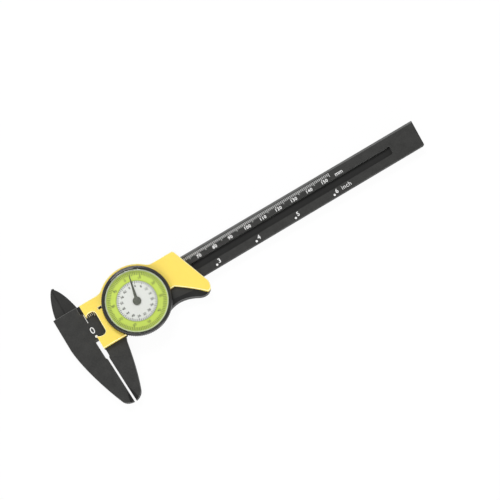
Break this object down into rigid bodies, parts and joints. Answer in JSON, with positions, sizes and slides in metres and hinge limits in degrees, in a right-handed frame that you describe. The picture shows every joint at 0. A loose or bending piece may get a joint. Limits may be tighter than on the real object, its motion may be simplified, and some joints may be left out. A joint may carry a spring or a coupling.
{
  "type": "plastic dial caliper",
  "caption": "Plastic dial caliper for outside and inside measurement, with a sliding jaw, a rack-driven dial and scales in millimetres and inches.",
  "frame": {"origin": "on the resting plane, under the beam's centre line at the fixed jaw's measuring plane (zero of the scale)", "axes": "+X along the beam towards its free end, the way the slider opens; +Y towards the inside blades; +Z out through the dial"},
  "size_m": [0.2282, 0.0764, 0.0125],
  "materials": {
    "black_plastic": "fine moulded texture, satin",
    "yellow_plastic": "smooth moulded, semi-gloss",
    "bezel_plastic": "polished, knurled rim",
    "clear_plastic": "clear moulded lens",
    "dial_print": "printed green ring and white centre",
    "spring_steel": "rolled strip",
    "screw_steel": "zinc-plated",
    "brass": "stamped and turned",
    "arbor_steel": "turned",
    "pointer_grey": "painted"
  },
  "bodies": {
    "beam": {"beam": "black_plastic"},
    "slider": {"slider_frame": "black_plastic", "gib_spring": "spring_steel", "back_plate": "black_plastic", "back_screws": "screw_steel", "front_cover": "yellow_plastic", "dial_case": "black_plastic", "bezel_spring": "spring_steel", "movement_plate": "brass", "movement_screws": "screw_steel", "centre_bush": "brass", "pinion_bush": "brass"},
    "bezel": {"bezel": "bezel_plastic", "crystal": "clear_plastic", "dial_plate": "dial_print"},
    "pointer": {"centre_arbor": "arbor_steel", "centre_wheel": "brass", "pointer": "pointer_grey", "pointer_cap": "pointer_grey"},
    "pinion": {"pinion_arbor": "arbor_steel", "rack_pinion": "brass", "drive_gear": "brass"}
  },
  "joints": [
    {"name": "slider_slide", "type": "slide", "parent": "beam", "child": "slider", "axis": [1, 0, 0], "range_m": [-0.0011, 0.1519]},
    {"name": "pointer_turn", "type": "hinge", "parent": "slider", "child": "pointer", "pos_m": [0.0285, -0.00175, 0], "axis": [0, 0, 1], "range_deg": [-2160, 20]},
    {"name": "pinion_turn", "type": "hinge", "parent": "slider", "child": "pinion", "pos_m": [0.03792, 0.00008, 0], "axis": [0, 0, 1], "range_deg": [-60, 6480]},
    {"name": "bezel_turn", "type": "hinge", "parent": "slider", "child": "bezel", "pos_m": [0.0285, -0.00175, 0], "axis": [0, 0, 1], "continuous": true}
  ],
  "couplings": [
    {"joint": "pointer_turn", "follows": "slider_slide", "rad_per_m": -247.37},
    {"joint": "pinion_turn", "follows": "slider_slide", "rad_per_m": 742.11}
  ]
}
